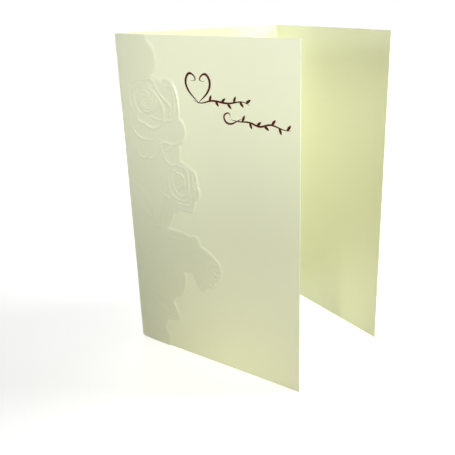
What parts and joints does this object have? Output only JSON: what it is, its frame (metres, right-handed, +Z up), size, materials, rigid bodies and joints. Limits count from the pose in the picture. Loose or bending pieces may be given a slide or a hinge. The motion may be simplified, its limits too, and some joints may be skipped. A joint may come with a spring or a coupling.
{
  "type": "wedding invitation card",
  "caption": "Tall folded invitation card with an embossed rose border and burgundy foil scrolls, standing open on its lower edges",
  "frame": {"origin": "Middle of the card's footprint, on the surface that its lower edges stand on", "axes": "+Z is up along the card's folds. +X runs along the cover from its fold to its free edge. The printed face of the cover looks along -Y"},
  "size_m": [0.1244, 0.1114, 0.18],
  "materials": {
    "pearl_card": "pearlescent satin",
    "foil": "satin foil"
  },
  "bodies": {
    "root": {"card": "pearl_card", "upper_flourish": "foil", "lower_flourish": "foil"}
  },
  "joints": []
}
